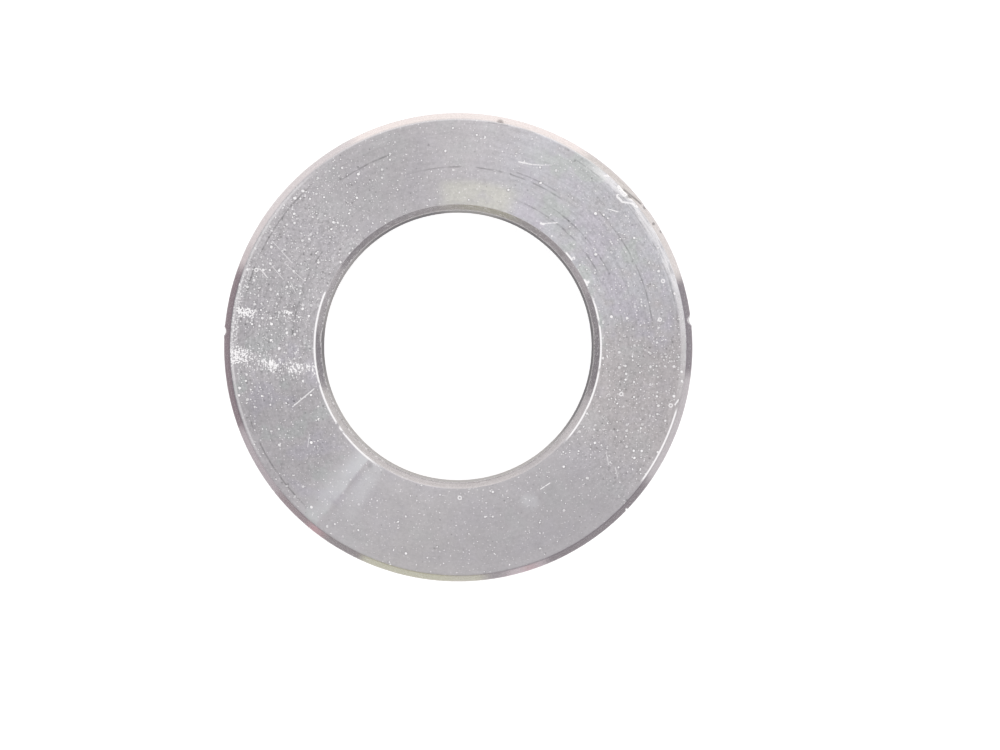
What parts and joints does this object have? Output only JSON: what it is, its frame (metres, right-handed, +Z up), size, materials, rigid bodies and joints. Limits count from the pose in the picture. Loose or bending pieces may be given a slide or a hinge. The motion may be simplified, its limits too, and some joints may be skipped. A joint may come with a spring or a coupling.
{
  "type": "shim ring",
  "caption": "Flat turned steel spacer ring with a plain bore and chamfered edges, slid over a shaft to set the gap between two parts.",
  "frame": {"origin": "centre of the lower face, on the bore's axis", "axes": "+Z up along the bore's axis, towards the face whose rim is nicked; +X points at 0 degrees round the rim"},
  "size_m": [0.035, 0.035, 0.004],
  "materials": {
    "steel": "satin"
  },
  "bodies": {
    "root": {"shim_ring": "steel"}
  },
  "joints": []
}
